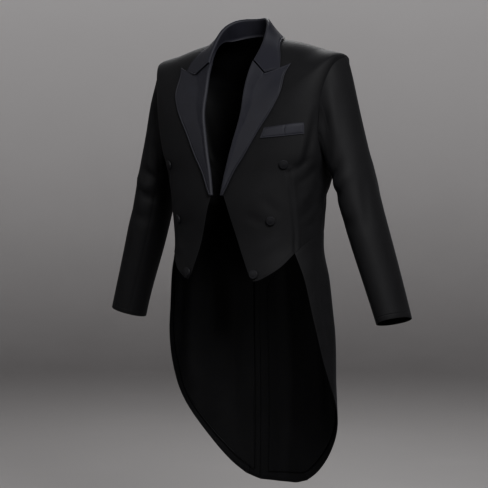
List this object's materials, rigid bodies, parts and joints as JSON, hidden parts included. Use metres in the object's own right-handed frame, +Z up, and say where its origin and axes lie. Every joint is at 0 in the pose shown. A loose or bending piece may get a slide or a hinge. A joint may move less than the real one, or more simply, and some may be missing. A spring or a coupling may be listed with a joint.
{
  "type": "white tie tailcoat",
  "caption": "Black evening tailcoat worn open, with satin peak lapels, cutaway fronts with covered buttons, long sleeves and two tails with a centre vent.",
  "frame": {"origin": "centre of the neck base at the level where the collar meets the shoulders, where the wearer's neck and shoulders hold the coat", "axes": "+Z up, the wearer faces -Y, +X towards the wearer's left"},
  "size_m": [0.7621, 0.2624, 1.0381],
  "materials": {
    "wool": "fine worsted, matt",
    "satin": "satin weave with a soft sheen",
    "lining": "plain twill lining, slight sheen"
  },
  "bodies": {
    "root": {"forepart_left": "wool", "forepart_right": "wool", "side_body_left": "wool", "side_body_right": "wool", "back_left": "wool", "back_right": "wool", "tail_left": "wool", "tail_right": "wool", "tail_lining_left": "lining", "tail_lining_right": "lining", "top_sleeve_left": "wool", "top_sleeve_right": "wool", "under_sleeve_left": "wool", "under_sleeve_right": "wool", "collar": "satin", "lapel_left": "satin", "lapel_right": "satin", "breast_welt": "satin", "front_button_top_left": "satin", "front_button_top_right": "satin", "front_button_middle_left": "satin", "front_button_middle_right": "satin", "front_button_low_left": "satin", "front_button_low_right": "satin", "back_button_left": "satin", "back_button_right": "satin"}
  },
  "joints": []
}
